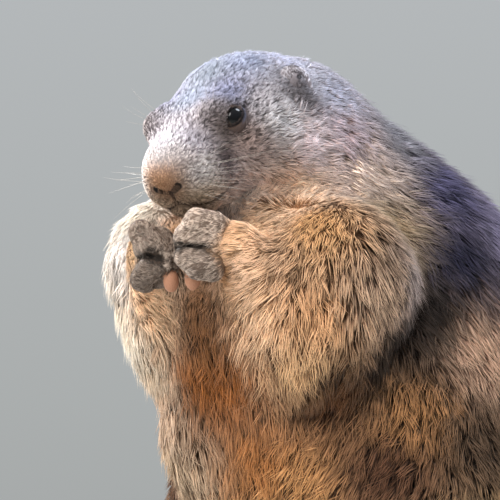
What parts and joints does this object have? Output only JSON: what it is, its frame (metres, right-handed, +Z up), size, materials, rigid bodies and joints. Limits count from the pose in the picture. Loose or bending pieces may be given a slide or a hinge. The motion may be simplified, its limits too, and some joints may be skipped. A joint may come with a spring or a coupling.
{
  "type": "alpine marmot model",
  "caption": "Life-size still model of an alpine marmot sitting up on its haunches, hunched, with both hands held together at its mouth.",
  "frame": {"origin": "on the floor under the middle of the animal's bounding box", "axes": "+X towards the animal's left, +Y towards its tail, +Z up; the animal faces -Y"},
  "size_m": [0.2324, 0.416, 0.3363],
  "materials": {
    "head_coat": "short dense grey hair",
    "ear_coat": "short dark hair",
    "eye": "wet and glossy",
    "neck_coat": "long grey and cream hair",
    "body_coat": "long coarse hair, dark above and tan at the sides",
    "arm_coat": "long tan hair with cream tips",
    "hand": "short grey brown hair with bare pads",
    "foot": "short brown hair with bare soles",
    "tail_coat": "bushy brown hair with a black tip"
  },
  "bodies": {
    "root": {"head": "head_coat", "ear_left": "ear_coat", "ear_right": "ear_coat", "eye_left": "eye", "eye_right": "eye", "neck": "neck_coat", "torso": "body_coat", "upper_arm_left": "arm_coat", "upper_arm_right": "arm_coat", "forearm_left": "arm_coat", "forearm_right": "arm_coat", "hand_left": "hand", "hand_right": "hand", "thigh_left": "body_coat", "thigh_right": "body_coat", "hind_foot_left": "foot", "hind_foot_right": "foot", "tail": "tail_coat"}
  },
  "joints": []
}
